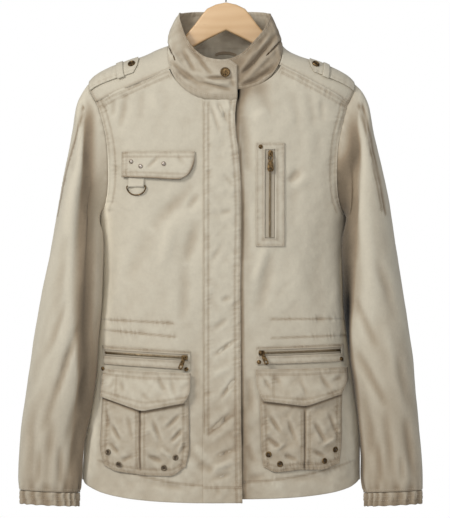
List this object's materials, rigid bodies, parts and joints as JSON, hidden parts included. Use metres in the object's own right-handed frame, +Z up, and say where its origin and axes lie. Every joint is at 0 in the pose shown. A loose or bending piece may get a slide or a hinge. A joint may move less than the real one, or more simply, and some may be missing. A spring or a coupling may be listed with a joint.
{
  "type": "safari jacket on a wooden hanger",
  "caption": "Light cotton safari jacket hanging from a wooden hanger: flap pockets, zip pockets, storm placket, epaulettes, stand collar and gathered cuffs.",
  "frame": {"origin": "inner top of the hanger's hook, where it rests on a rail", "axes": "+Z up, +X to the right seen from the front (the wearer's left), -Y towards the front of the jacket"},
  "size_m": [0.6238, 0.1333, 0.8438],
  "materials": {
    "cloth": "stone coloured washed cotton, matt",
    "zip_tape": "zip tape with dark brass teeth",
    "antique_brass": "antique, dark brown",
    "nickel": "polished nickel",
    "steel": "bright plated wire",
    "wood": "clear lacquered pale wood"
  },
  "bodies": {
    "jacket": {"back": "cloth", "chest_flap": "cloth", "chest_rivet": "antique_brass", "chest_slider": "antique_brass", "chest_welt": "cloth", "chest_zip": "zip_tape", "collar": "cloth", "collar_snap": "antique_brass", "cuff_l": "cloth", "cuff_r": "cloth", "d_tab": "cloth", "epaulette_l": "cloth", "epaulette_loop_l": "cloth", "epaulette_loop_r": "cloth", "epaulette_r": "cloth", "epaulette_snap_l": "antique_brass", "epaulette_snap_r": "antique_brass", "eyelet_l1": "antique_brass", "eyelet_l2": "antique_brass", "eyelet_l3": "antique_brass", "eyelet_l4": "antique_brass", "eyelet_r1": "antique_brass", "eyelet_r2": "antique_brass", "eyelet_r3": "antique_brass", "eyelet_r4": "antique_brass", "flap_l": "cloth", "flap_r": "cloth", "flap_rivet_1": "nickel", "flap_rivet_2": "nickel", "flap_rivet_3": "nickel", "front_l": "cloth", "front_r": "cloth", "hanger": "wood", "hanger_loop": "cloth", "hook": "steel", "placket": "cloth", "pocket_l": "cloth", "pocket_r": "cloth", "rivet_l1": "antique_brass", "rivet_l2": "antique_brass", "rivet_r1": "antique_brass", "rivet_r2": "antique_brass", "sleeve_l": "cloth", "sleeve_r": "cloth", "slider_l": "antique_brass", "slider_r": "antique_brass", "welt_l": "cloth", "welt_r": "cloth", "yoke_l": "cloth", "yoke_r": "cloth", "zip_l": "zip_tape", "zip_r": "zip_tape"},
    "chest_pull": {"chest_pull": "antique_brass"},
    "pull_r": {"pull_r": "antique_brass"},
    "pull_l": {"pull_l": "antique_brass"},
    "d_ring": {"d_ring": "antique_brass"}
  },
  "joints": [
    {"name": "chest_pull_swing", "type": "hinge", "parent": "jacket", "child": "chest_pull", "pos_m": [0.06827, -0.0648, -0.29988], "axis": [-1, 0, 0], "range_deg": [0, 150]},
    {"name": "pull_r_swing", "type": "hinge", "parent": "jacket", "child": "pull_r", "pos_m": [-0.06372, -0.06833, -0.61291], "axis": [-1, 0, 0], "range_deg": [0, 150]},
    {"name": "pull_l_swing", "type": "hinge", "parent": "jacket", "child": "pull_l", "pos_m": [0.05472, -0.06812, -0.6059], "axis": [-1, 0, 0], "range_deg": [0, 150]},
    {"name": "d_ring_swing", "type": "hinge", "parent": "jacket", "child": "d_ring", "pos_m": [-0.13795, -0.05212, -0.34865], "axis": [-0.9592, 0.2828, 0], "range_deg": [0, 150]}
  ]
}
